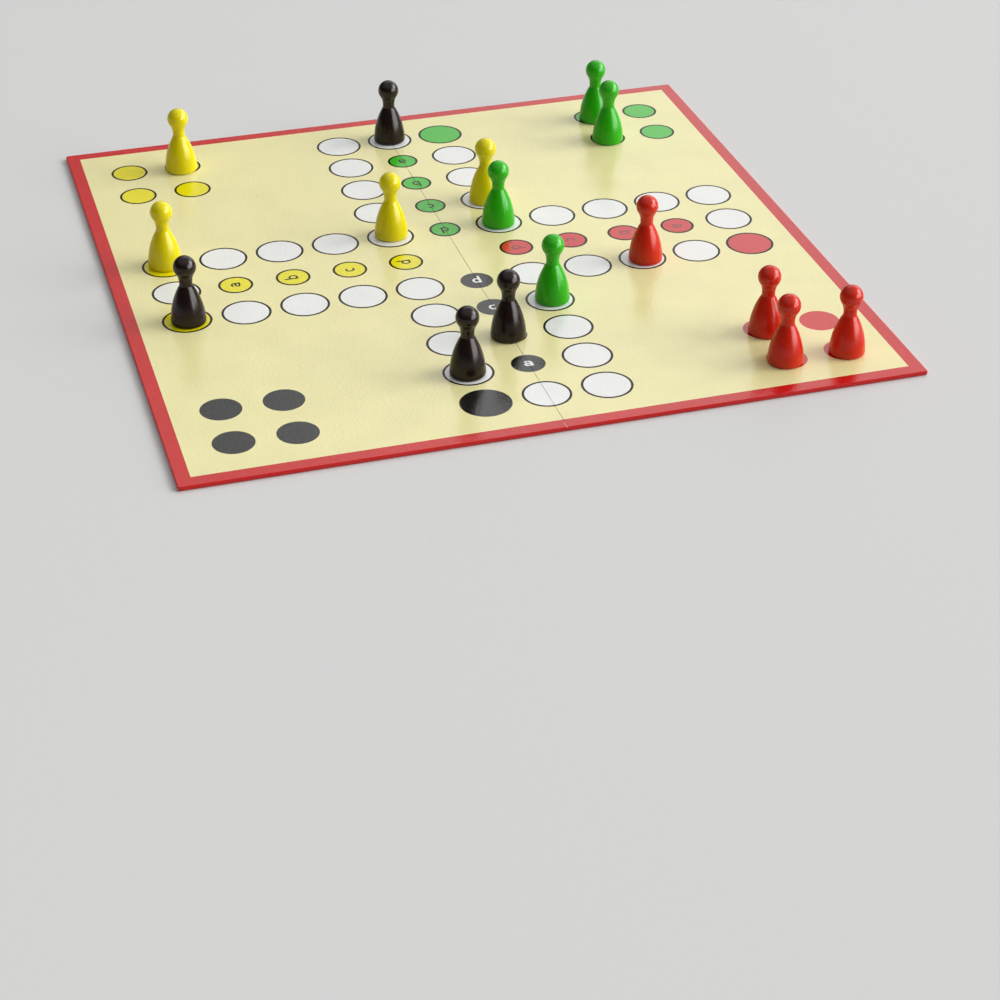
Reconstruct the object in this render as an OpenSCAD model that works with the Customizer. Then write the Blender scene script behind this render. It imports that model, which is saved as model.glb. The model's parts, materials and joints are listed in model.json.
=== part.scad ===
// Folding board for a four-player race game, laid open, with its sixteen pawns.
// Two grey-board panels, each wrapped in a printed sheet, are joined on the back by a cloth strip.
// The frame: X to the right, Y to the far edge, Z up. The origin is on the underside,
// on the fold, half way between the near and the far edge.

/* [Playing fields] */
// Distance between the centres of neighbouring fields
field_pitch = 21; // [18:0.05:27]
// From the centres of the outermost fields to the edge of the board
margin = 22; // [19:0.1:30]

/* [Board] */
// Thickness of the grey-board core
core_t = 1.1; // [0.9:0.1:2.4]
// Thickness of the printed sheet, the backing paper and the hinge cloth
sheet_t = 0.2; // [0.15:0.05:0.3]
// Radius over which the printed sheet wraps the outer edges
edge_r = 0.4; // [0.35:0.05:0.6]
// Slit between the two panels
fold_gap = 0.3; // [0.1:0.05:0.6]
// Width of the printed sheet turned in on the back
turn_in = 14; // [8:1:20]

/* [Hinge] */
// Width of the cloth strip across the fold
cloth_w = 30; // [16:1:40]
// Distance from each end of the cloth to the edge of the board
cloth_inset = 3; // [1:0.5:8]

/* [Pawns] */
// Overall height of a pawn
pawn_h = 25.3; // [22:0.1:32]
// Diameter of the foot
foot_d = 12.4; // [10:0.1:14]
// Radius of the foot's lower edge
foot_r = 0.8; // [0.3:0.1:1.5]
// Radius of the flank's long outward curve, seen from the side
flank_r = 28.5; // [23:0.5:34]
// Diameter of the neck
neck_d = 4.6; // [3.6:0.1:6]
// Diameter of the ball head
head_d = 8; // [6.4:0.1:9]
// Height from the top of the straight neck to the centre of the head
throat_h = 5.7; // [4:0.1:6.5]

/* [Hidden] */
$fn = 96;
// Play between any cutting solid and the face that it cuts through
cut = 1;
// Fields from one edge of the board to the other, along the cross-shaped track
field_count = 11;
// Side of the open square board, and its thickness
board_side = (field_count - 1) * field_pitch + 2 * margin;
board_t = core_t + 2 * sheet_t;
half = board_side / 2;
panel_w = half - fold_gap / 2;
foot_rad = foot_d / 2;
neck_rad = neck_d / 2;
head_rad = head_d / 2;
head_z = pawn_h - head_rad;
throat_z = head_z - throat_h;
// Concave arc that leaves the neck upright and runs tangent into the ball
throat_r = (neck_rad * neck_rad + throat_h * throat_h - head_rad * head_rad) / (2 * (head_rad - neck_rad));
// Centre of the flank's arc, on the base plane
flank_x = foot_rad - flank_r;
// Centre of the foot's rounding, whose arc touches both the table and the flank
rounding_x = flank_x + sqrt(pow(flank_r - foot_r, 2) - foot_r * foot_r);
// Where the rounding passes into the flank
foot_touch_z = foot_r * flank_r / (flank_r - foot_r);
// Height at which the flank has drawn in to the neck
shoulder_z = sqrt(flank_r * flank_r - pow(neck_rad - flank_x, 2));
// Where the ball and the throat's arc touch
throat_share = head_rad / (head_rad + throat_r);
touch_x = throat_share * (neck_rad + throat_r);
touch_z = head_z - throat_share * throat_h;

// Each pawn: name, field column, field row, and how far off the field's centre it was set down,
// as a share of the distance between fields
PAWNS = [
    ["yellow_pawn_1", -4,  5, -0.048, -0.143],
    ["yellow_pawn_2", -5,  1,  0.000,  0.071],
    ["yellow_pawn_3", -1,  1,  0.024,  0.071],
    ["yellow_pawn_4",  1,  2,  0.024, -0.024],
    ["black_pawn_1",   0,  5,  0.000,  0.024],
    ["black_pawn_2",  -5, -1,  0.024, -0.048],
    ["black_pawn_3",  -1, -4, -0.024, -0.024],
    ["black_pawn_4",   0, -3, -0.048, -0.024],
    ["green_pawn_1",   4,  5,  0.071, -0.167],
    ["green_pawn_2",   4,  4,  0.000, -0.167],
    ["green_pawn_3",   1,  1, -0.024,  0.000],
    ["green_pawn_4",   1, -2,  0.024, -0.024],
    ["red_pawn_1",     3, -1,  0.024, -0.071],
    ["red_pawn_2",     4, -4,  0.048, -0.095],
    ["red_pawn_3",     4, -5, -0.024, -0.095],
    ["red_pawn_4",     5, -5,  0.048, -0.095]
];

function pawn_colour(name) =
    name[0] == "y" ? [0.83, 0.78, 0.05] :
    name[0] == "g" ? [0.13, 0.55, 0.08] :
    name[0] == "r" ? [0.72, 0.12, 0.06] : [0.10, 0.06, 0.05];

// Lies flat with its long edges rounded: a board's cross section, from x = 0 to x = length.
// The near end stays square when square_start is true.
module board_section(length, thick, r, square_start) {
    difference() {
        square([length, thick]);
        for (high = [0, 1])
            translate([length, high * thick])
                rotate(high == 1 ? 180 : 90)
                    corner_waste(r);
        if (!square_start)
            for (high = [0, 1])
                translate([0, high * thick])
                    rotate(high == 1 ? 270 : 0)
                        corner_waste(r);
    }
}

// What a rounded edge of radius r takes off a square corner at the origin
module corner_waste(r) {
    difference() {
        square(r);
        translate([r, r])
            circle(r);
    }
}

// A right-hand panel: square along the fold, rounded along its three outer edges
module panel(inset, low, thick, r) {
    length = board_side - 2 * inset;
    width = panel_w - inset;
    intersection() {
        translate([fold_gap / 2, length / 2, low])
            rotate([90, 0, 0])
                linear_extrude(length)
                    board_section(width, thick, r, true);
        translate([fold_gap / 2, -length / 2, low])
            rotate([90, 0, 90])
                linear_extrude(width)
                    board_section(length, thick, r, false);
    }
}

module core_right() {
    color([0.62, 0.60, 0.56])
        panel(sheet_t, sheet_t, core_t, edge_r - sheet_t);
}

// The sheet covers the top, wraps three edges and is turned in on the back
module printed_sheet_right() {
    color([0.93, 0.90, 0.68])
        difference() {
            panel(0, 0, board_t, edge_r);
            panel(sheet_t, sheet_t, core_t, edge_r - sheet_t);
            backing_recess();
            cloth_recess();
        }
}

module backing_recess() {
    translate([0, -half + turn_in, -cut])
        cube([half - turn_in, board_side - 2 * turn_in, sheet_t + cut]);
}

module cloth_recess() {
    translate([0, -half + cloth_inset, -cut])
        cube([cloth_w / 2, board_side - 2 * cloth_inset, sheet_t + cut]);
}

module backing_right() {
    color([0.90, 0.89, 0.85])
        translate([cloth_w / 2, -half + turn_in, 0])
            cube([half - turn_in - cloth_w / 2, board_side - 2 * turn_in, sheet_t]);
}

module hinge_cloth() {
    color([0.60, 0.10, 0.12])
        translate([-cloth_w / 2, -half + cloth_inset, 0])
            cube([cloth_w, board_side - 2 * cloth_inset, sheet_t]);
}

// Half of the pawn's outline: rounded foot, flank, neck, throat and ball, all of them arcs
module pawn_outline() {
    square([rounding_x, foot_touch_z]);
    intersection() {
        translate([rounding_x, foot_r])
            circle(foot_r);
        square([foot_rad, foot_touch_z]);
    }
    intersection() {
        translate([flank_x, 0])
            circle(flank_r, $fn = 360);
        translate([0, foot_touch_z])
            square([foot_rad, shoulder_z - foot_touch_z]);
    }
    square([neck_rad, touch_z]);
    difference() {
        translate([0, throat_z])
            square([touch_x, touch_z - throat_z]);
        translate([neck_rad + throat_r, throat_z])
            circle(throat_r);
    }
    intersection() {
        translate([0, head_z])
            circle(head_rad);
        translate([0, head_z - head_rad])
            square([head_rad, head_d]);
    }
}

module pawn(entry) {
    color(pawn_colour(entry[0]))
        translate([(entry[1] + entry[3]) * field_pitch, (entry[2] + entry[4]) * field_pitch, board_t])
            rotate_extrude()
                pawn_outline();
}

module core_left() { mirror([1, 0, 0]) core_right(); }
module printed_sheet_left() { mirror([1, 0, 0]) printed_sheet_right(); }
module backing_left() { mirror([1, 0, 0]) backing_right(); }

core_left();
core_right();
printed_sheet_left();
printed_sheet_right();
backing_left();
backing_right();
hinge_cloth();
for (entry = PAWNS)
    pawn(entry);
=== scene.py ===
import json
import math
import bmesh
import bpy
import numpy as np
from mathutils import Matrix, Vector

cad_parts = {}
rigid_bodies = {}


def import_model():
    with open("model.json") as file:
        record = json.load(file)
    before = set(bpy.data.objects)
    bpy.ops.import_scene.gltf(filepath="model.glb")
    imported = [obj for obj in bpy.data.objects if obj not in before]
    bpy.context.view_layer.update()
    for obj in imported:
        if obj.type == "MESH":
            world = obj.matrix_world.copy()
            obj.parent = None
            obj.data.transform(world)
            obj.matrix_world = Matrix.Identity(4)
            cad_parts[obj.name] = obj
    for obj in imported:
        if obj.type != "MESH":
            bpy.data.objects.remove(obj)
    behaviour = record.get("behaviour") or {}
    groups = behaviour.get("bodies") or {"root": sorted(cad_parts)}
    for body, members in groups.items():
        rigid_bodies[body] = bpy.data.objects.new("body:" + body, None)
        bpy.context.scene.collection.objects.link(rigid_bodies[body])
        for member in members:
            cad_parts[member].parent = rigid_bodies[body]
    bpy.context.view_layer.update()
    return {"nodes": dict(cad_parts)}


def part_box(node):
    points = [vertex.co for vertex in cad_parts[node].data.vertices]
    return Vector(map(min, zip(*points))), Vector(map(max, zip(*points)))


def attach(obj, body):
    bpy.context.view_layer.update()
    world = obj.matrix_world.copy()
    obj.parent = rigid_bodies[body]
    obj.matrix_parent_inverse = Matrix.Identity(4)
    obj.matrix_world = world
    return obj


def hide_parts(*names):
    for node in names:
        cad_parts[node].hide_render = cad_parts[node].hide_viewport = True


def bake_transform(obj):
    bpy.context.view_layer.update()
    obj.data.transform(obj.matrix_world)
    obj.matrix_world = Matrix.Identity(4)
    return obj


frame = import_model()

mm = 0.001

# Camera, solved from the board's fields in the photograph
camera = {
    "place": (-0.20502, -0.73853, 0.39225),
    "lookAt": (-0.03269, -0.15984, 0.0),
    "lens": 84.16,          # mm, on a 36 mm sensor
}
cameraData = bpy.data.cameras.new("camera")
cameraData.sensor_width = 36.0
cameraData.lens = camera["lens"]
cameraData.clip_start = 0.01
cameraObject = bpy.data.objects.new("camera", cameraData)
bpy.context.collection.objects.link(cameraObject)
cameraObject.location = camera["place"]
aim = Vector(camera["lookAt"]) - Vector(camera["place"])
cameraObject.rotation_mode = "QUATERNION"
cameraObject.rotation_quaternion = aim.to_track_quat("-Z", "Y")
bpy.context.scene.camera = cameraObject
print("camera set")

# Sizes shared by the pieces, read from the frame
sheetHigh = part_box("printed_sheet_right")[1]
clothLow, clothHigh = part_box("hinge_cloth")
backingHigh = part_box("backing_right")[1]
halfSide = sheetHigh.y          # half the open board
boardTop = sheetHigh.z          # printed face
sheetThick = backingHigh.z
turnIn = halfSide - backingHigh.y
sides = {"left": -1, "right": 1}
nearness = {"doubled": 1e-7, "flat": 1e-8}    # metres: points merged, edges dropped or taken as cut


def gridFaces(rows, columns, closed=False):
    # Quads of a grid of points numbered row by row; closed joins the last column to the first
    row = np.arange(rows - 1)[:, None] * columns
    here = np.arange(columns if closed else columns - 1)
    there = (here + 1) % columns
    quads = np.stack([row + here, row + there, row + columns + there, row + columns + here], axis=-1)
    return quads.reshape(-1, 4)


def makePiece(name, points, faces, materials, body=None, replaced=(),
              faceMaterial=None, smooth=False):
    # Puts whole arrays into a mesh, merges its doubled points, and lets it ride on its body
    mesh = bpy.data.meshes.new(name)
    mesh.from_pydata(points.reshape(-1, 3).tolist(), [], faces.tolist())
    if faceMaterial is not None:
        mesh.polygons.foreach_set("material_index", faceMaterial.astype(np.int32))
    work = bmesh.new()
    work.from_mesh(mesh)
    bmesh.ops.remove_doubles(work, verts=work.verts, dist=nearness["doubled"])
    bmesh.ops.dissolve_degenerate(work, edges=work.edges, dist=nearness["flat"])
    work.to_mesh(mesh)
    work.free()
    mesh.polygons.foreach_set("use_smooth", np.full(len(mesh.polygons), smooth))
    for material in materials:
        mesh.materials.append(material)
    piece = bpy.data.objects.new(name, mesh)
    bpy.context.collection.objects.link(piece)
    if body:
        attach(piece, body)
    if replaced:
        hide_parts(*replaced)
    return piece


def cutAtFold(piece, side):
    # Cuts a closed mesh at its panel's edge of the slit, keeps the panel's side and closes the cut
    work = bmesh.new()
    work.from_mesh(piece.data)
    everything = work.verts[:] + work.edges[:] + work.faces[:]
    cut = bmesh.ops.bisect_plane(work, geom=everything, dist=nearness["flat"],
                                 plane_co=(side * sheet["foldEdge"], 0, 0),
                                 plane_no=(-side, 0, 0), clear_outer=True)
    edges = [item for item in cut["geom_cut"] if isinstance(item, bmesh.types.BMEdge)]
    if edges:
        bmesh.ops.holes_fill(work, edges=edges)
    work.to_mesh(piece.data)
    work.free()


def toLinear(red, green, blue):
    # Screen colour, 0 to 255, as the linear colour that a shader takes, by the usual two-part curve
    share = np.array([red, green, blue]) / 255
    linear = np.where(share <= 0.04045, share / 12.92, ((share + 0.055) / 1.055) ** 2.4)
    return (*linear.tolist(), 1.0)


def newGroup(name, inputs, outputs):
    # An empty shader node group with named sockets: (name, kind, value) for inputs,
    # (name, kind) for outputs
    group = bpy.data.node_groups.new(name, "ShaderNodeTree")
    for label, kind, value in inputs:
        socket = group.interface.new_socket(label, in_out="INPUT", socket_type="NodeSocket" + kind)
        socket.default_value = value
    for label, kind in outputs:
        group.interface.new_socket(label, in_out="OUTPUT", socket_type="NodeSocket" + kind)
    return group, group.nodes.new("NodeGroupInput"), group.nodes.new("NodeGroupOutput")


def addNode(tree, kind, links=(), **settings):
    # A node with its settings, then its sockets: (socket, value or the socket that feeds it)
    node = tree.nodes.new("ShaderNode" + kind)
    for label, value in settings.items():
        setattr(node, label, value)
    for socket, value in links:
        if isinstance(value, bpy.types.NodeSocket):
            tree.links.new(value, node.inputs[socket])
        else:
            node.inputs[socket].default_value = value
    return node


def newMaterial(name, **sockets):
    # A Principled material, its plain sockets and the tree it lives in
    material = bpy.data.materials.new(name)
    material.use_nodes = True
    shader = material.node_tree.nodes["Principled BSDF"]
    for label, value in sockets.items():
        shader.inputs[label.replace("_", " ")].default_value = value
    return material, material.node_tree, shader


# Glossy film over the print
filmLook = {
    "mottle": 0.03,             # share by which the ink's tone wanders
    "mottleScale": 60.0,
    "gloss": 0.05,              # roughness of the clean film
    "smear": 0.05,              # roughness that smears add
    "smearScale": 25.0,
    "coarseScale": 700.0,       # orange peel: coarse + fineShare * fine
    "fineScale": 2000.0,
    "fineShare": 1.4,
    "peelDepth": 0.034 * mm,
    "ior": 1.5,
}


def filmGroup():
    # Glossy film over print: orange peel in the normal, faint smears in the gloss,
    # a breath of tone in the ink
    group, given, result = newGroup(
        "glossyFilm",
        [("Ink", "Color", (1, 1, 1, 1)), ("Mottle", "Float", filmLook["mottle"]),
         ("Gloss", "Float", filmLook["gloss"]), ("Smear", "Float", filmLook["smear"]),
         ("Peel", "Float", 1.0)],
        [("Color", "Color"), ("Roughness", "Float"), ("Normal", "Vector")])
    place = addNode(group, "TexCoord")
    tone = addNode(group, "TexNoise", [("Vector", place.outputs["Object"]),
                                       ("Scale", filmLook["mottleScale"]), ("Detail", 3.0)])
    toneShift = addNode(group, "MapRange", [("Value", tone.outputs["Fac"]), ("From Min", 0.3),
                                            ("From Max", 0.7), ("To Min", -1.0), ("To Max", 1.0)])
    toneScaled = addNode(group, "Math", [(0, toneShift.outputs[0]), (1, given.outputs["Mottle"])],
                         operation="MULTIPLY")
    toneValue = addNode(group, "Math", [(0, toneScaled.outputs[0]), (1, 1.0)], operation="ADD")
    ink = addNode(group, "HueSaturation", [("Color", given.outputs["Ink"]), ("Value", toneValue.outputs[0])])
    group.links.new(ink.outputs[0], result.inputs["Color"])
    smear = addNode(group, "TexNoise", [("Vector", place.outputs["Object"]),
                                        ("Scale", filmLook["smearScale"]), ("Detail", 4.0),
                                        ("Distortion", 1.5)])
    smearMask = addNode(group, "MapRange", [("Value", smear.outputs["Fac"]), ("From Min", 0.45),
                                            ("From Max", 0.75)])
    smearScaled = addNode(group, "Math", [(0, smearMask.outputs[0]), (1, given.outputs["Smear"])],
                          operation="MULTIPLY")
    gloss = addNode(group, "Math", [(0, given.outputs["Gloss"]), (1, smearScaled.outputs[0])],
                    operation="ADD")
    group.links.new(gloss.outputs[0], result.inputs["Roughness"])
    coarse = addNode(group, "TexNoise", [("Vector", place.outputs["Object"]),
                                         ("Scale", filmLook["coarseScale"]), ("Detail", 0.0)])
    fine = addNode(group, "TexNoise", [("Vector", place.outputs["Object"]),
                                       ("Scale", filmLook["fineScale"]), ("Detail", 0.0)])
    both = addNode(group, "Math", [(0, fine.outputs["Fac"]), (1, filmLook["fineShare"]),
                                   (2, coarse.outputs["Fac"])], operation="MULTIPLY_ADD")
    peel = addNode(group, "Bump", [("Height", both.outputs[0]), ("Strength", given.outputs["Peel"]),
                                   ("Distance", filmLook["peelDepth"])])
    group.links.new(peel.outputs[0], result.inputs["Normal"])
    return group


glossyFilm = filmGroup()


def printMaterial(name, ink):
    # Ink under the glossy film
    material, tree, shader = newMaterial(name, IOR=filmIor.get(name, filmLook["ior"]))
    film = addNode(tree, "Group", node_tree=glossyFilm)
    film.inputs["Ink"].default_value = toLinear(*ink)
    tree.links.new(film.outputs["Color"], shader.inputs["Base Color"])
    tree.links.new(film.outputs["Roughness"], shader.inputs["Roughness"])
    tree.links.new(film.outputs["Normal"], shader.inputs["Normal"])
    return material


# The film shines less over the rings, the dark letters and the red band
filmIor = {"ringInk": 1.25, "letterDarkInk": 1.3, "borderInk": 1.45}
inks = {
    "cream": (241, 233, 171),
    "border": (204, 26, 24),
    "white": (239, 239, 236),
    "yellow": (238, 226, 12),
    "green": (62, 188, 36),
    "red": (208, 34, 36),
    "black": (28, 27, 25),
    "ring": (36, 30, 16),
    "letterDark": (38, 35, 22),
    "letterOnRed": (96, 38, 40),
}
inkMaterials = {name: printMaterial(name + "Ink", ink) for name, ink in inks.items()}
# Painted highlight on the left panel's edge where it meets the fold, in the red band
foldEdgeHighlight = {
    "paper": (232, 170, 160),
    "across": 0.3 * mm,         # painted highlight's width, on the left of the fold
    "bandStart": 123.0 * mm,    # distance from the middle of the board at which the painted highlight begins
    "bandFull": 124.2 * mm,
    "low": 1.3 * mm,            # height down to which it reaches
}


def paintFoldEdgeHighlight(material):
    # Painted highlight: a paler colour on the band where the left panel's edge meets the fold:
    # highlightMask = along * across * onTop, each of them 0 or 1 but for a soft start along the fold
    tree = material.node_tree
    film = next(node for node in tree.nodes if node.type == "GROUP")
    shader = tree.nodes["Principled BSDF"]
    place = addNode(tree, "TexCoord")
    split = addNode(tree, "SeparateXYZ", [(0, place.outputs["Object"])])
    away = addNode(tree, "Math", [(0, split.outputs["Y"])], operation="ABSOLUTE")
    along = addNode(tree, "MapRange", [("Value", away.outputs[0]), ("From Min", foldEdgeHighlight["bandStart"]),
                                       ("From Max", foldEdgeHighlight["bandFull"])])
    nearFold = addNode(tree, "Math", [(0, split.outputs["X"]), (1, -foldEdgeHighlight["across"])],
                       operation="GREATER_THAN")
    onLeft = addNode(tree, "Math", [(0, split.outputs["X"]), (1, 0.0)], operation="LESS_THAN")
    onTop = addNode(tree, "Math", [(0, split.outputs["Z"]), (1, foldEdgeHighlight["low"])], operation="GREATER_THAN")
    across = addNode(tree, "Math", [(0, nearFold.outputs[0]), (1, onLeft.outputs[0])], operation="MULTIPLY")
    edge = addNode(tree, "Math", [(0, across.outputs[0]), (1, onTop.outputs[0])], operation="MULTIPLY")
    highlightMask = addNode(tree, "Math", [(0, along.outputs[0]), (1, edge.outputs[0])], operation="MULTIPLY")
    mixed = addNode(tree, "Mix", [("Factor", highlightMask.outputs[0])], data_type="RGBA")
    mixed.inputs["B"].default_value = toLinear(*foldEdgeHighlight["paper"])
    tree.links.new(film.outputs["Color"], mixed.inputs["A"])
    tree.links.new(mixed.outputs["Result"], shader.inputs["Base Color"])


paintFoldEdgeHighlight(inkMaterials["border"])

# Paper and board fibres
pulp = {
    "ior": 1.4,
    "cloudSize": 40,            # of the clouds in the pulp, in fibres
    "darkest": 0.88,
    "lightest": 1.08,
    "relief": 0.6,
}


def pulpGroup():
    # Uncoated paper or board: fibres in tone and relief, clouds in tone
    group, given, result = newGroup(
        "pulpFibres",
        [("Tint", "Color", (1, 1, 1, 1)), ("Fibre Scale", "Float", 1.0), ("Cloud Scale", "Float", 1.0),
         ("Depth", "Float", 0.0)],
        [("Color", "Color"), ("Normal", "Vector")])
    place = addNode(group, "TexCoord")
    fibres = addNode(group, "TexNoise", [("Vector", place.outputs["Object"]),
                                         ("Scale", given.outputs["Fibre Scale"]), ("Detail", 6.0),
                                         ("Roughness", 0.7), ("Distortion", 0.8)])
    clouds = addNode(group, "TexNoise", [("Vector", place.outputs["Object"]),
                                         ("Scale", given.outputs["Cloud Scale"]), ("Detail", 2.0)])
    mix = addNode(group, "Math", [(0, fibres.outputs["Fac"]), (1, clouds.outputs["Fac"])], operation="ADD")
    tone = addNode(group, "MapRange", [("Value", mix.outputs[0]), ("From Min", 0.7), ("From Max", 1.3),
                                       ("To Min", pulp["darkest"]), ("To Max", pulp["lightest"])])
    colour = addNode(group, "HueSaturation", [("Color", given.outputs["Tint"]), ("Value", tone.outputs[0])])
    group.links.new(colour.outputs[0], result.inputs["Color"])
    relief = addNode(group, "Bump", [("Height", fibres.outputs["Fac"]), ("Strength", pulp["relief"]),
                                     ("Distance", given.outputs["Depth"])])
    group.links.new(relief.outputs[0], result.inputs["Normal"])
    return group


pulpFibres = pulpGroup()


def fibreMaterial(name, tint, scale, roughness, depth):
    # One paper or board, with its own tint, fibres and relief
    material, tree, shader = newMaterial(name, Roughness=roughness, IOR=pulp["ior"])
    fibres = addNode(tree, "Group", [("Tint", toLinear(*tint)), ("Fibre Scale", scale),
                                     ("Cloud Scale", scale / pulp["cloudSize"]), ("Depth", depth)],
                     node_tree=pulpFibres)
    tree.links.new(fibres.outputs["Color"], shader.inputs["Base Color"])
    tree.links.new(fibres.outputs["Normal"], shader.inputs["Normal"])
    return material


papers = {
    "paperEdge": {"tint": (226, 222, 208), "scale": 900.0, "roughness": 0.8, "depth": 0.02 * mm},
    # Cut edges painted dark: painted shade in the slit at the fold and at the turn-ins' inner edges
    "shadedCutEdge": {"tint": (112, 104, 90), "scale": 900.0, "roughness": 0.8, "depth": 0.02 * mm},
    "liningPaper": {"tint": (226, 222, 208), "scale": 1400.0, "roughness": 0.75, "depth": 0.015 * mm},
    "greyBoard": {"tint": (150, 146, 136), "scale": 700.0, "roughness": 0.9, "depth": 0.03 * mm},
}
paperMaterials = {name: fibreMaterial(name, **values) for name, values in papers.items()}
print("print and paper materials made")

# Printed sheets: face, red band, wrapped edges, turn-ins
sheet = {
    "bandWidth": 5.0 * mm,      # red band on the face
    "edgeRadius": 0.4 * mm,     # over which the sheet wraps the board
    "foldEdge": 0.07 * mm,      # from the fold to the cut edge of the print
    "cornerRadius": 0.9 * mm,   # of the corners, seen from above
    "arcSteps": 6,
}


def sheetSurface(side):
    # point(station, d, z) = outer outline - min(d, r) * outward - max(d - r, 0) * mitre, at height z:
    # a profile of (inset d, height z) carried round the panel's three outer edges
    radius, foldEdge = sheet["cornerRadius"], sheet["foldEdge"]
    clothEdge = clothHigh.x
    clothStep = halfSide - clothHigh.y
    turn = np.radians(np.linspace(-90, 0, sheet["arcSteps"] + 1))
    arc = np.stack([np.cos(turn), np.sin(turn)], axis=-1)
    corner = np.array([halfSide - radius, -halfSide + radius]) + radius * arc
    nearPlaces = np.concatenate([[[foldEdge, -halfSide], [clothEdge, -halfSide]], corner])
    nearOutward = np.concatenate([[[0, -1], [0, -1]], arc])
    nearMitre = np.concatenate([[[0, -1], [0, -1]], np.tile([1, -1], (len(arc), 1))])
    flip = np.array([1, -1])
    places = np.concatenate([nearPlaces, nearPlaces[::-1] * flip])
    outward = np.concatenate([nearOutward, nearOutward[::-1] * flip])
    mitre = np.concatenate([nearMitre, nearMitre[::-1] * flip])
    wrap = np.radians(np.linspace(0, 90, sheet["arcSteps"] + 1))
    edge = sheet["edgeRadius"]
    arcInset = edge * (1 - np.sin(wrap))
    arcHeight = edge * (1 - np.cos(wrap))
    inset = np.concatenate([[sheet["bandWidth"]], arcInset, arcInset[::-1], [clothStep, turnIn]])
    height = np.concatenate([[boardTop], boardTop - arcHeight, arcHeight[::-1], [0, 0]])
    small = np.minimum(inset, radius)[None, :, None]
    large = np.maximum(inset - radius, 0)[None, :, None]
    flat = places[:, None] - small * outward[:, None] - large * mitre[:, None]
    points = np.concatenate([flat, np.broadcast_to(height[None, :, None], (*flat.shape[:2], 1))], axis=-1)
    rows, columns = points.shape[:2]
    faces = gridFaces(rows, columns).reshape(rows - 1, columns - 1, 4)
    keep = np.ones((rows - 1, columns - 1), bool)
    keep[[0, -1], -1] = False               # the cloth lies there instead of the turn-in
    faces = faces[keep]
    # The face inside the band: two flat quads that share the band's points
    innerX = np.array([foldEdge, clothEdge, halfSide - sheet["bandWidth"]])
    innerY = np.array([-1, 1]) * (halfSide - sheet["bandWidth"])
    gridX, gridY = np.meshgrid(innerX, innerY)
    facePoints = np.stack([gridX, gridY, np.full_like(gridX, boardTop)], axis=-1).reshape(-1, 3)
    top = gridFaces(2, 3) + rows * columns
    allPoints = np.concatenate([points.reshape(-1, 3), facePoints]) * [side, 1, 1]
    allFaces = np.concatenate([faces, top])
    if side < 0:
        allFaces = allFaces[:, ::-1]
    band = np.concatenate([np.ones(len(faces)), np.zeros(len(top))])
    return allPoints, allFaces, band


for sideName, side in sides.items():
    points, faces, band = sheetSurface(side)
    raw, shadedCut = paperMaterials["paperEdge"], paperMaterials["shadedCutEdge"]
    # Behind each ink in the list: its raw inner side two places on, its cut edge four places on, painted dark
    # as shade in the slit and at the turn-ins
    wrapped = makePiece("wrapped_sheet_" + sideName, points, faces,
                        [inkMaterials["cream"], inkMaterials["border"], raw, raw, shadedCut, shadedCut],
                        body=sideName + "_panel",
                        replaced=["printed_sheet_" + sideName], faceMaterial=band)
    wall = wrapped.modifiers.new("thickness", "SOLIDIFY")
    wall.thickness = sheetThick
    wall.offset = -1.0
    wall.use_even_offset = True
    wall.material_offset = 2
    wall.material_offset_rim = 4
print("printed sheets wrapped")

# Printed fields and rings, thin slabs of ink on the sheets
fields = {
    "trackRadius": 8.78 * mm,
    "nearTipRadius": 8.38 * mm,
    "armGoalRadius": 6.27 * mm,
    "foldGoalRadius": 5.87 * mm,
    "homeRadius": 7.0 * mm,
    "ringWidth": 0.86 * mm,
    "ringUnder": 0.05 * mm,     # how far a ring reaches in under its disc
    "ringRise": 0.008 * mm,     # each layer of ink a hair above the last
    "discRise": 0.014 * mm,
    "letterRise": 0.020 * mm,
    "inkDepth": 0.05 * mm,      # how far a layer reaches into the sheet
    "steps": 72,
}
layout = {
    # The print doesn't sit quite true on the board, and its rows aren't quite evenly spaced
    "column": 20.96 * mm,
    "firstRow": 21.4 * mm,      # from the middle line to the rows at its sides
    "row": 20.86 * mm,          # between the rows beyond them
    "shift": -0.14 * mm,
    "skew": -0.0021,            # fall to the right
    "armGoalShift": (0.36 * mm, 0),
    "foldGoalShift": (0.05 * mm, 0.25 * mm),
    "homeStep": (21.0 * mm, 21.5 * mm),
}
homeMiddles = {                 # mm
    "yellow": (-94.7, 93.4),
    "green": (95.2, 93.0),
    "red": (95.3, -94.7),
    "black": (-94.65, -94.8),
}
steps = np.arange(1, 6)
arms = [np.stack(np.broadcast_arrays(a, b), axis=-1)
        for sign in (-1, 1)
        for other in (-1, 1)
        for a, b in ((sign, other * steps), (other * steps[1:], sign))]
nearTip = (0, -5)
track = np.concatenate([*arms, [(0, 5), (5, 0), (-5, 0)]])
starts = {"yellow": [(-5, 1), (-5, -1)], "green": [(1, 5)], "red": [(5, -1)], "black": [(-1, -5)]}
coloured = np.concatenate(list(starts.values()))
isColoured = (track[:, None] == coloured[None]).all(axis=2).any(axis=1)
goalSteps = np.arange(4, 0, -1)[:, None]
goals = {
    "yellow": (goalSteps * [-1, 0], "armGoal"),
    "green": (goalSteps * [0, 1], "foldGoal"),
    "red": (goalSteps * [1, 0], "armGoal"),
    "black": (goalSteps * [0, -1], "foldGoal"),
}


def fieldPlaces(cells):
    # x = column * width + shift; y = sign(row) * (first + (|row| - 1) * step) + skew * x
    column, row = np.array(cells, float).T
    x = column * layout["column"] + layout["shift"]
    beyond = np.maximum(np.abs(row) - 1, 0)
    y = np.sign(row) * (layout["firstRow"] + beyond * layout["row"]) + layout["skew"] * x
    return np.stack([x, y], axis=-1)


def goalPlaces(name):
    # The goal's cells, printed a little off their place
    cells, kind = goals[name]
    return fieldPlaces(cells) + layout[kind + "Shift"]


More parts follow.
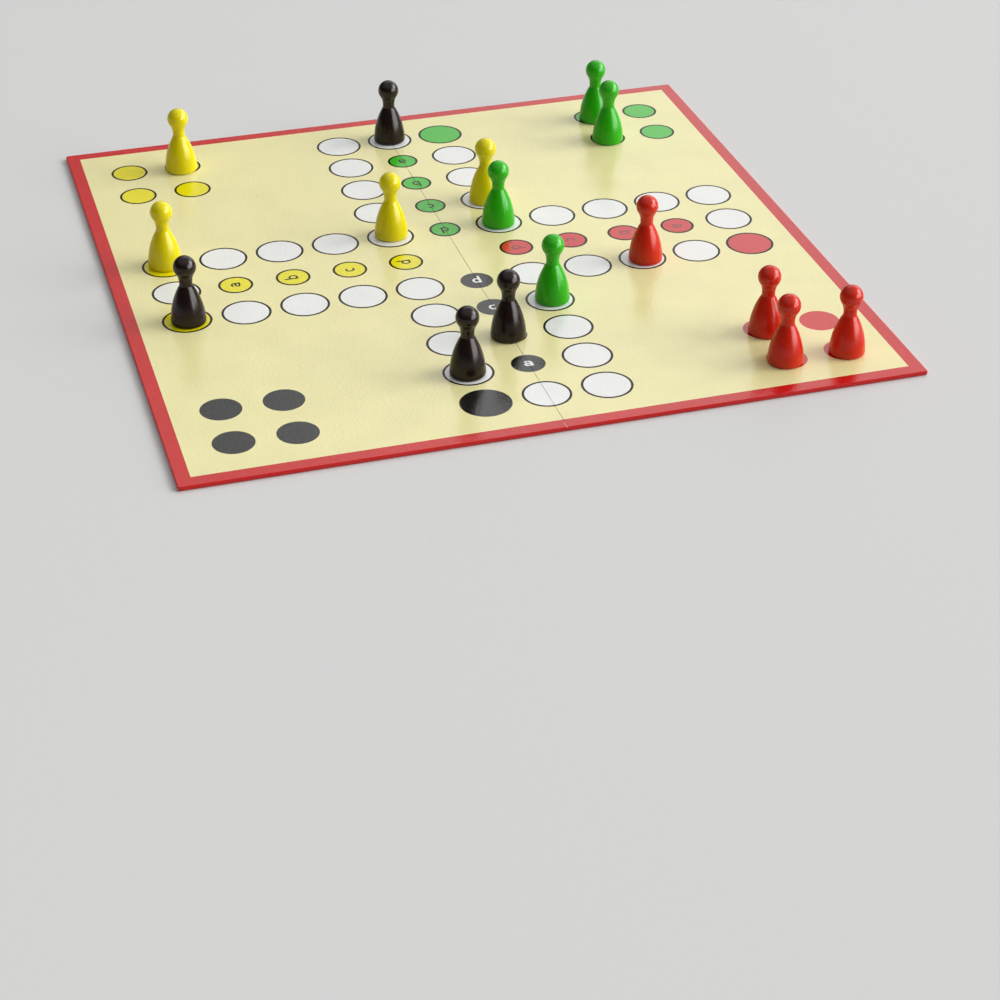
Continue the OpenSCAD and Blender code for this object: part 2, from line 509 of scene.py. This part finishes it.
def homePlaces(name):
    # place = middle +- step / 2, both ways
    corners = np.array([(-1, -1), (-1, 1), (1, -1), (1, 1)])
    return np.array(homeMiddles[name]) * mm + corners * layout["homeStep"] / 2


def roundFields():
    # Every field as (ink, x, y, radius, ringed): black fields and the red homes have no ring
    rows = [("white", *place, fields["trackRadius"], True) for place in fieldPlaces(track[~isColoured])]
    rows += [("white", *place, fields["nearTipRadius"], True) for place in fieldPlaces([nearTip])]
    for name in starts:
        hasRing = name != "black"
        homeRing = hasRing and name != "red"
        goalRadius = fields[goals[name][1] + "Radius"]
        rows += [(name, *place, fields["trackRadius"], hasRing) for place in fieldPlaces(starts[name])]
        rows += [(name, *place, goalRadius, hasRing) for place in goalPlaces(name)]
        rows += [(name, *place, fields["homeRadius"], homeRing) for place in homePlaces(name)]
    return rows


def slabs(centres, profileRadius, profileHeight):
    # point(k, t, u) = centre k + (r_k(t) cos u, r_k(t) sin u, z(t)):
    # a closed profile turned about each centre
    turn = np.linspace(0, 2 * np.pi, fields["steps"], endpoint=False)
    flat = profileRadius[:, :, None, None] * np.stack([np.cos(turn), np.sin(turn)], axis=-1)
    flat = flat + centres[:, None, None]
    height = np.broadcast_to(profileHeight[None, :, None, None], (*flat.shape[:3], 1))
    points = np.concatenate([flat, height], axis=-1)
    count, rows, columns = points.shape[:3]
    faces = gridFaces(rows, columns, closed=True)
    shift = np.arange(count)[:, None, None] * rows * columns
    return points.reshape(-1, 3), (faces[None] + shift).reshape(-1, 4)


def printLayer(name, centres, inner, outer, rise, material):
    # One ink's discs (inner 0) or rings, a closed slab each, split between the panels at the fold
    low = boardTop - fields["inkDepth"]
    high = boardTop + rise
    for sideName, side in sides.items():
        mine = side * centres[:, 0] > -outer
        if not mine.any():
            continue
        radii = np.stack([inner[mine], outer[mine], outer[mine], inner[mine], inner[mine]], axis=1)
        heights = np.array([low, low, high, high, low])
        if not inner.any():
            radii, heights = radii[:, :4], heights[:4]
        points, faces = slabs(centres[mine], radii, heights)
        layer = makePiece(name + "_" + sideName, points, faces, [material],
                          body=sideName + "_panel")
        cutAtFold(layer, side)


allFields = roundFields()
for ink in ("white", "yellow", "green", "red", "black"):
    mine = [row for row in allFields if row[0] == ink]
    centres = np.array([row[1:3] for row in mine])
    outer = np.array([row[3] for row in mine])
    ring = np.array([row[4] for row in mine]) * fields["ringWidth"]
    printLayer(ink + "_fields", centres, np.zeros(len(mine)), outer - ring, fields["discRise"],
               inkMaterials[ink])
withRing = [row for row in allFields if row[4]]
ringCentres = np.array([row[1:3] for row in withRing])
ringOuter = np.array([row[3] for row in withRing])
ringInner = ringOuter - fields["ringWidth"] - fields["ringUnder"]
printLayer("field_rings", ringCentres, ringInner, ringOuter, fields["ringRise"], inkMaterials["ring"])
print("fields printed:", len(allFields))

letters = {
    "xHeight": 3.5 * mm,
    "ascender": 5.0 * mm,
    "halfWidth": 1.15 * mm,     # of the bowl, to the middle of its stroke
    "hookHalf": 0.3,            # half heights of the a's hook and bowl, in x-heights
    "bowlHalf": 0.31,
    "stemTop": 0.5,             # top of the a's stem, in x-heights
    "hookStart": 150,           # degrees
    "openFrom": 48,             # mouth of the c, to each side of the right, in degrees
    "arcPoints": 33,
    "strokeStep": 0.002 * mm,   # a letter's second stroke lies this much higher
}


def bow(x, y, wide, high, start, end):
    # Points of an elliptic arc: (x + wide cos t, y + high sin t), t in degrees
    t = np.radians(np.linspace(start, end, letters["arcPoints"]))
    return np.stack([x + wide * np.cos(t), y + high * np.sin(t)], axis=-1)


def stem(x, low, high):
    # The two ends of an upright stroke
    return np.array([[x, low], [x, high]])


def letterStrokes(letter, width):
    # The middle lines of a plain letter's strokes, on a base line at y = 0
    wide, tall = letters["halfWidth"], letters["xHeight"]
    half = width / 2
    middle, reach = tall / 2, tall / 2 - half
    if letter == "a":
        hook, bowl = letters["hookHalf"] * tall, letters["bowlHalf"] * tall
        top = bow(0, tall - half - hook, wide, hook, letters["hookStart"], 0)
        return [np.concatenate([top, stem(wide, 0, letters["stemTop"] * tall)[::-1]]),
                bow(0, bowl, wide, bowl - half, 0, 360)]
    if letter == "c":
        return [bow(0, middle, wide, reach, letters["openFrom"], 360 - letters["openFrom"])]
    bowl = bow(0, middle, wide, reach, 0, 360)
    if letter == "b":
        return [bowl, stem(-wide, 0, letters["ascender"])]
    return [bowl, stem(wide, 0, letters["ascender"])]


def ribbon(path, width, low, high):
    # A rectangle carried along a path: path(s) +- width / 2 * normal(s), at two heights
    along = np.gradient(path, axis=0)
    along /= np.linalg.norm(along, axis=1, keepdims=True)
    if np.allclose(path[0], path[-1]):
        along[0] = along[-1] = (along[0] + along[-1]) / np.linalg.norm(along[0] + along[-1])
    normal = np.stack([-along[:, 1], along[:, 0]], axis=-1) * width / 2
    right, left = path - normal, path + normal
    rim = np.stack([right, right, left, left], axis=1)
    height = np.broadcast_to(np.array([low, high, high, low])[None, :, None], (*rim.shape[:2], 1))
    points = np.concatenate([rim, height], axis=-1)
    faces = gridFaces(len(path), 4, closed=True)
    last = 4 * (len(path) - 1)
    caps = np.array([[3, 2, 1, 0], [last, last + 1, last + 2, last + 3]])
    isLoop = np.allclose(path[0], path[-1])
    return points.reshape(-1, 3), faces if isLoop else np.concatenate([faces, caps])


letterLooks = {
    # up is the direction in which the letter's top points
    "yellow": {"up": (-1, 0), "stroke": 0.70 * mm, "ink": "letterDark"},
    "green": {"up": (0, -1), "stroke": 0.66 * mm, "ink": "letterDark"},
    "red": {"up": (1, 0), "stroke": 0.55 * mm, "ink": "letterOnRed"},
    "black": {"up": (0, 1), "stroke": 0.85 * mm, "ink": "white"},
}


def printLetters(colour):
    # The four goal letters of one colour, turned the way that its player reads them
    look = letterLooks[colour]
    up = np.array(look["up"])
    right = np.array([up[1], -up[0]])
    points, faces, total = [], [], 0
    for letter, place in zip("abcd", goalPlaces(colour)):
        for number, path in enumerate(letterStrokes(letter, look["stroke"])):
            path = path - [0, letters["xHeight"] / 2]
            turned = path[:, :1] * right + path[:, 1:] * up + place
            rise = fields["letterRise"] + number * letters["strokeStep"]
            these, quads = ribbon(turned, look["stroke"], boardTop, boardTop + rise)
            points.append(these)
            faces.append(quads + total)
            total += len(these)
    points, faces = np.concatenate(points), np.concatenate(faces)
    for sideName, side in sides.items():
        if (side * points[:, 0] < sheet["foldEdge"]).all():
            continue
        layer = makePiece(colour + "_letters_" + sideName, points, faces, [inkMaterials[look["ink"]]],
                          body=sideName + "_panel")
        cutAtFold(layer, side)


for colour in letterLooks:
    printLetters(colour)
print("letters printed")

# Hinge cloth
cloth = {
    "columns": 41,
    "rows": 125,
    "tint": (128, 24, 30),
    "threadsPerMm": 1.6,
    "crowding": 3,              # power by which the columns gather at the fold
    "bendZone": 0.6 * mm,       # to each side of the fold
}


def clothMaterial():
    # Plain weave: two crossed thread waves, one up where the other is down
    material, tree, shader = newMaterial("bookCloth", Roughness=0.75, IOR=1.45, Sheen_Weight=0.25)
    place = addNode(tree, "TexCoord")
    split = addNode(tree, "SeparateXYZ", [(0, place.outputs["Object"])])
    turns = math.pi * cloth["threadsPerMm"] / mm    # half a wave for each thread
    waves = []
    for axis in ("X", "Y"):
        angle = addNode(tree, "Math", [(0, split.outputs[axis]), (1, turns)], operation="MULTIPLY")
        waves.append(addNode(tree, "Math", [(0, angle.outputs[0])], operation="SINE"))
    cross = addNode(tree, "Math", [(0, waves[0].outputs[0]), (1, waves[1].outputs[0])], operation="MULTIPLY")
    slubs = addNode(tree, "TexNoise", [("Vector", place.outputs["Object"]), ("Scale", 350.0),
                                       ("Detail", 3.0)])
    height = addNode(tree, "Math", [(0, cross.outputs[0]), (1, 0.5), (2, slubs.outputs["Fac"])],
                     operation="MULTIPLY_ADD")
    # Painted shade: the weave is painted darker where it lies low and lighter on the thread tops; the slubs
    # add random tone
    tone = addNode(tree, "MapRange", [("Value", height.outputs[0]), ("From Min", 0.0), ("From Max", 1.0),
                                      ("To Min", 0.7), ("To Max", 1.2)])
    colour = addNode(tree, "HueSaturation", [("Color", toLinear(*cloth["tint"])), ("Value", tone.outputs[0])])
    tree.links.new(colour.outputs[0], shader.inputs["Base Color"])
    relief = addNode(tree, "Bump", [("Height", height.outputs[0]), ("Strength", 0.8),
                                    ("Distance", 0.05 * mm)])
    tree.links.new(relief.outputs[0], shader.inputs["Normal"])
    return material


def clothStrip():
    # point(u, v) = (edge * sign(u) * |u| ** crowding, y(v), 0): columns gather at the fold
    u = np.linspace(-1, 1, cloth["columns"])
    x = clothHigh.x * np.sign(u) * np.abs(u) ** cloth["crowding"]
    y = np.linspace(clothLow.y, clothHigh.y, cloth["rows"])
    gridX, gridY = np.meshgrid(x, y)
    return np.stack([gridX, gridY, np.zeros_like(gridX)], axis=-1)


strip = clothStrip()
clothPiece = makePiece("woven_hinge_strip", strip, gridFaces(cloth["rows"], cloth["columns"])[:, ::-1],
                       [clothMaterial()], replaced=["hinge_cloth"], smooth=True)
clothWall = clothPiece.modifiers.new("thickness", "SOLIDIFY")
clothWall.thickness = sheetThick
clothWall.offset = -1.0
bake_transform(clothPiece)
print("hinge cloth laid")

# Pawns
pawn = {
    "footRadius": 6.2 * mm,
    "footRounding": 0.8 * mm,
    "flankRadius": 28.5 * mm,   # long outward curve of the flank
    "neckRadius": 2.3 * mm,
    "headRadius": 4.0 * mm,
    "throatHeight": 5.7 * mm,   # straight neck to the middle of the head
    "height": 25.3 * mm,
    "softening": 0.25 * mm,     # lacquer softens the crease at the shoulder
    "spacing": 0.02 * mm,       # of the points along the outline while it is softened
    "arcPoints": 400,
    "evenShare": 0.8,           # how evenly the rows are spread, against how they gather in the bends
    "steps": 96,
    "rows": 120,
    "perColour": 4,
}
lacquerLook = {
    "fleckScale": 2600.0,
    "fleckStretch": 0.14,       # along the pawn
    "ringScale": 2200.0,
    "ringStretch": 0.06,        # round the pawn
    "bodyScale": 90.0,
    "smoothest": 0.18,
    "roughest": 0.26,
    "relief": 0.004 * mm,
    "ior": 1.45,
}
lacquers = {
    "yellow": {"paint": (232, 217, 0), "grain": 0.02},
    "black": {"paint": (28, 11, 7), "grain": 0.06},
    "green": {"paint": (43, 181, 4), "grain": 0.03},
    "red": {"paint": (212, 36, 8), "grain": 0.03},
}


def pawnProfile():
    # Half outline as arcs, foot to crown, resampled by arc length and softened by a bell-shaped average
    foot, rounding, flank = pawn["footRadius"], pawn["footRounding"], pawn["flankRadius"]
    neck, head, throat = pawn["neckRadius"], pawn["headRadius"], pawn["throatHeight"]
    flankX = foot - flank
    roundX = flankX + math.sqrt((flank - rounding) ** 2 - rounding ** 2)
    touch = math.asin(rounding / (flank - rounding))
    shoulder = math.acos((neck - flankX) / flank)
    headZ = pawn["height"] - head
    throatRadius = (neck ** 2 + throat ** 2 - head ** 2) / (2 * (head - neck))
    lean = math.atan2(throat, neck + throatRadius)
    arcs = [
        (roundX, rounding, rounding, -math.pi / 2, touch),
        (flankX, 0, flank, touch, shoulder),
        (neck + throatRadius, headZ - throat, throatRadius, math.pi, math.pi - lean),
        (0, headZ, head, -lean, math.pi / 2),
    ]
    parts = [np.array([[0, 0]])]
    for x, z, radius, start, end in arcs:
        t = np.linspace(start, end, pawn["arcPoints"])
        parts.append(np.stack([x + radius * np.cos(t), z + radius * np.sin(t)], axis=-1))
    line = np.concatenate(parts)
    run = np.concatenate([[0], np.cumsum(np.linalg.norm(np.diff(line, axis=0), axis=1))])
    spacing = pawn["spacing"]
    even = np.arange(0, run[-1], spacing)
    dense = np.stack([np.interp(even, run, line[:, k]) for k in (0, 1)], axis=-1)
    reach = int(4 * pawn["softening"] / spacing)    # the bell is as good as zero beyond four widths
    bell = np.exp(-0.5 * (np.arange(-reach, reach + 1) * spacing / pawn["softening"]) ** 2)
    bell /= bell.sum()
    before = dense[1:reach + 1][::-1] * [-1, 1]
    after = dense[-reach - 1:-1][::-1] * [-1, 1]
    padded = np.concatenate([before, dense, after])
    soft = np.stack([np.convolve(padded[:, k], bell, "valid") for k in (0, 1)], axis=-1)
    # Rows gather where the outline turns fast
    turnRate = np.abs(np.gradient(np.unwrap(np.arctan2(*np.gradient(soft, axis=0).T[::-1]))))
    weight = np.cumsum(turnRate + turnRate.sum() / len(soft) * pawn["evenShare"])
    picks = np.searchsorted(weight, np.linspace(weight[0], weight[-1], pawn["rows"]))
    profile = soft[np.clip(picks, 0, len(soft) - 1)]
    profile[0, 0] = profile[-1, 0] = 0
    profile[0, 1] = max(profile[0, 1], 0)
    return profile


def lacquerGroup():
    # Lacquered beech: grain flecks run up the pawn, turning lines run round it
    group, given, result = newGroup(
        "turnedLacquer",
        [("Paint", "Color", (1, 1, 1, 1)), ("Grain", "Float", 0.05), ("Relief", "Float", 1.0)],
        [("Color", "Color"), ("Roughness", "Float"), ("Normal", "Vector")])
    place = addNode(group, "TexCoord")
    alongPawn = (1.0, 1.0, lacquerLook["fleckStretch"])
    upright = addNode(group, "Mapping", [("Vector", place.outputs["Object"]), ("Scale", alongPawn)])
    flecks = addNode(group, "TexNoise", [("Vector", upright.outputs[0]),
                                         ("Scale", lacquerLook["fleckScale"]), ("Detail", 2.0)])
    roundPawn = (lacquerLook["ringStretch"], lacquerLook["ringStretch"], 1.0)
    level = addNode(group, "Mapping", [("Vector", place.outputs["Object"]), ("Scale", roundPawn)])
    rings = addNode(group, "TexNoise", [("Vector", level.outputs[0]),
                                        ("Scale", lacquerLook["ringScale"]), ("Detail", 2.0)])
    body = addNode(group, "TexNoise", [("Vector", place.outputs["Object"]),
                                       ("Scale", lacquerLook["bodyScale"]), ("Detail", 2.0)])
    tone = addNode(group, "Math", [(0, flecks.outputs["Fac"]), (1, body.outputs["Fac"])], operation="ADD")
    spread = addNode(group, "MapRange", [("Value", tone.outputs[0]), ("From Min", 0.7), ("From Max", 1.3),
                                         ("To Min", -1.0), ("To Max", 1.0)])
    scaled = addNode(group, "Math", [(0, spread.outputs[0]), (1, given.outputs["Grain"]), (2, 1.0)],
                     operation="MULTIPLY_ADD")
    colour = addNode(group, "HueSaturation", [("Color", given.outputs["Paint"]),
                                              ("Value", scaled.outputs[0])])
    group.links.new(colour.outputs[0], result.inputs["Color"])
    rough = addNode(group, "MapRange", [("Value", flecks.outputs["Fac"]), ("From Min", 0.3),
                                        ("From Max", 0.7), ("To Min", lacquerLook["smoothest"]),
                                        ("To Max", lacquerLook["roughest"])])
    group.links.new(rough.outputs[0], result.inputs["Roughness"])
    height = addNode(group, "Math", [(0, flecks.outputs["Fac"]), (1, rings.outputs["Fac"])], operation="ADD")
    relief = addNode(group, "Bump", [("Height", height.outputs[0]), ("Strength", given.outputs["Relief"]),
                                     ("Distance", lacquerLook["relief"])])
    group.links.new(relief.outputs[0], result.inputs["Normal"])
    return group


turnedLacquer = lacquerGroup()


def lacquerMaterial(name, paint, grain):
    material, tree, shader = newMaterial(name + "Lacquer", IOR=lacquerLook["ior"])
    finish = addNode(tree, "Group", node_tree=turnedLacquer)
    finish.inputs["Paint"].default_value = toLinear(*paint)
    finish.inputs["Grain"].default_value = grain
    tree.links.new(finish.outputs["Color"], shader.inputs["Base Color"])
    tree.links.new(finish.outputs["Roughness"], shader.inputs["Roughness"])
    tree.links.new(finish.outputs["Normal"], shader.inputs["Normal"])
    return material


profile = pawnProfile()
pawnCount = 0
for colour, look in lacquers.items():
    lacquer = lacquerMaterial(colour, **look)
    for number in range(1, pawn["perColour"] + 1):
        node = f"{colour}_pawn_{number}"
        low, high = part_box(node)
        centre = (low + high) / 2
        turn = np.linspace(0, 2 * np.pi, pawn["steps"], endpoint=False)
        # point(t, u) = centre + (r(t) cos u, r(t) sin u, z(t))
        points = np.stack([centre.x + profile[:, :1] * np.cos(turn),
                           centre.y + profile[:, :1] * np.sin(turn),
                           low.z + np.repeat(profile[:, 1:], len(turn), axis=1)], axis=-1)
        makePiece("turned_" + node, points, gridFaces(len(profile), len(turn), closed=True), [lacquer],
                  body=node, replaced=[node], smooth=True)
        pawnCount += 1
print("pawns turned:", pawnCount)

# Cores and lining papers keep their CAD meshes
for layer, finish in {"core": "greyBoard", "backing": "liningPaper"}.items():
    for sideName in sides:
        mesh = frame["nodes"][layer + "_" + sideName].data
        mesh.materials.clear()
        mesh.materials.append(paperMaterials[finish])

# Floor and light
floor = {
    "tint": (218, 218, 217),
    "size": 12.0,
    "drop": 0.05 * mm,          # below the board's underside
    "grainScale": 500.0,
    "grain": 0.015,             # share by which its tone wanders
}


def makeFloor():
    material, tree, shader = newMaterial("paleFloor", Roughness=0.55, IOR=1.4)
    place = addNode(tree, "TexCoord")
    grain = addNode(tree, "TexNoise", [("Vector", place.outputs["Object"]),
                                       ("Scale", floor["grainScale"]), ("Detail", 2.0)])
    tone = addNode(tree, "MapRange", [("Value", grain.outputs["Fac"]), ("To Min", 1 - floor["grain"]),
                                      ("To Max", 1 + floor["grain"])])
    colour = addNode(tree, "HueSaturation", [("Color", toLinear(*floor["tint"])), ("Value", tone.outputs[0])])
    tree.links.new(colour.outputs[0], shader.inputs["Base Color"])
    reach = floor["size"] / 2
    x, y = np.meshgrid([-reach, reach], [-reach, reach])
    points = np.stack([x, y, np.full_like(x, -floor["drop"])], axis=-1)
    plane = makePiece("studio_floor", points, gridFaces(2, 2), [material])


makeFloor()

# Far round windows: azimuth from +X towards +Y, elevation and width across, in degrees;
# radiance is that of the window's face
windows = {
    "rightWindow": {"azimuth": -4, "elevation": 32, "across": 30, "radiance": 6.8},
    "lowWindow": {"azimuth": -30, "elevation": 12, "across": 42, "radiance": 4.6},
}
# Lamps that only glint on the pawns, near where the windows stand
glints = {
    "rightGlint": {"azimuth": -4, "elevation": 32, "across": 30, "radiance": 8.5},
    "lowGlint": {"azimuth": -36, "elevation": 10, "across": 54, "radiance": 5.6},
}


def direction(azimuth, elevation):
    # (cos e cos a, cos e sin a, sin e), of length 1
    flat = math.cos(math.radians(elevation))
    return Vector((flat * math.cos(math.radians(azimuth)), flat * math.sin(math.radians(azimuth)),
                   math.sin(math.radians(elevation))))


def makeWindow(name, azimuth, elevation, across, radiance):
    # A lamp's energy is what it sheds on a face square to it: pi * radiance * sin(across / 2) ** 2
    data = bpy.data.lights.new(name, "SUN")
    data.angle = math.radians(across)
    data.energy = math.pi * radiance * math.sin(data.angle / 2) ** 2
    lamp = bpy.data.objects.new(name, data)
    bpy.context.collection.objects.link(lamp)
    lamp.rotation_mode = "QUATERNION"
    lamp.rotation_quaternion = (-direction(azimuth, elevation)).to_track_quat("-Z", "Y")
    return lamp


# The windows light everything without glare on the board; the glints show on the pawns alone
for name, values in windows.items():
    makeWindow(name, **values).visible_glossy = False
pawnPieces = bpy.data.collections.new("pawnPieces")
for piece in bpy.data.objects:
    if piece.name.startswith("turned_"):
        pawnPieces.objects.link(piece)
for name, values in glints.items():
    glint = makeWindow(name, **values)
    glint.visible_diffuse = False
    glint.light_linking.receiver_collection = pawnPieces

room = {
    "dim": 0.08,                    # radiance away from the bright areas
    "backdrop": (214, 214, 213),    # what the camera sees beyond the floor
    # Soft bright areas of the room, in degrees: full within inner, gone beyond outer
    "areas": [
        {"azimuth": 0, "elevation": 88, "inner": 20, "outer": 65, "radiance": 0.53},
        {"azimuth": -5, "elevation": 38, "inner": 12, "outer": 30, "radiance": 0.5},
        {"azimuth": 25, "elevation": 26, "inner": 8, "outer": 24, "radiance": 1.3},
        {"azimuth": 54, "elevation": 24, "inner": 10, "outer": 27, "radiance": 1.35},
        {"azimuth": 84, "elevation": 40, "inner": 6, "outer": 20, "radiance": 0.9},
    ],
}


def makeRoom():
    # World light: a dim room with soft bright areas, each a smooth step of the cosine of the angle
    # to its middle; the camera sees a plain backdrop instead
    world = bpy.data.worlds.new("room")
    bpy.context.scene.world = world
    world.use_nodes = True
    tree = world.node_tree
    tree.nodes.clear()
    place = addNode(tree, "TexCoord")
    total = None
    for area in room["areas"]:
        middle = direction(area["azimuth"], area["elevation"])
        facing = addNode(tree, "VectorMath", [(0, place.outputs["Generated"]), (1, middle)],
                         operation="DOT_PRODUCT")
        glow = addNode(tree, "MapRange", [("Value", facing.outputs["Value"]),
                                          ("From Min", math.cos(math.radians(area["outer"]))),
                                          ("From Max", math.cos(math.radians(area["inner"]))),
                                          ("To Max", area["radiance"])], interpolation_type="SMOOTHSTEP")
        before = total.outputs[0] if total else room["dim"]
        total = addNode(tree, "Math", [(0, before), (1, glow.outputs[0])], operation="ADD")
    rays = addNode(tree, "LightPath")
    seen = addNode(tree, "Mix", [("Factor", rays.outputs["Is Camera Ray"])], data_type="RGBA")
    tree.links.new(total.outputs[0], seen.inputs["A"])
    seen.inputs["B"].default_value = toLinear(*room["backdrop"])
    light = addNode(tree, "Background", [("Color", seen.outputs["Result"])])
    addNode(tree, "OutputWorld", [("Surface", light.outputs[0])])


makeRoom()
bpy.context.scene.view_settings.view_transform = "Standard"
print("floor and light set")
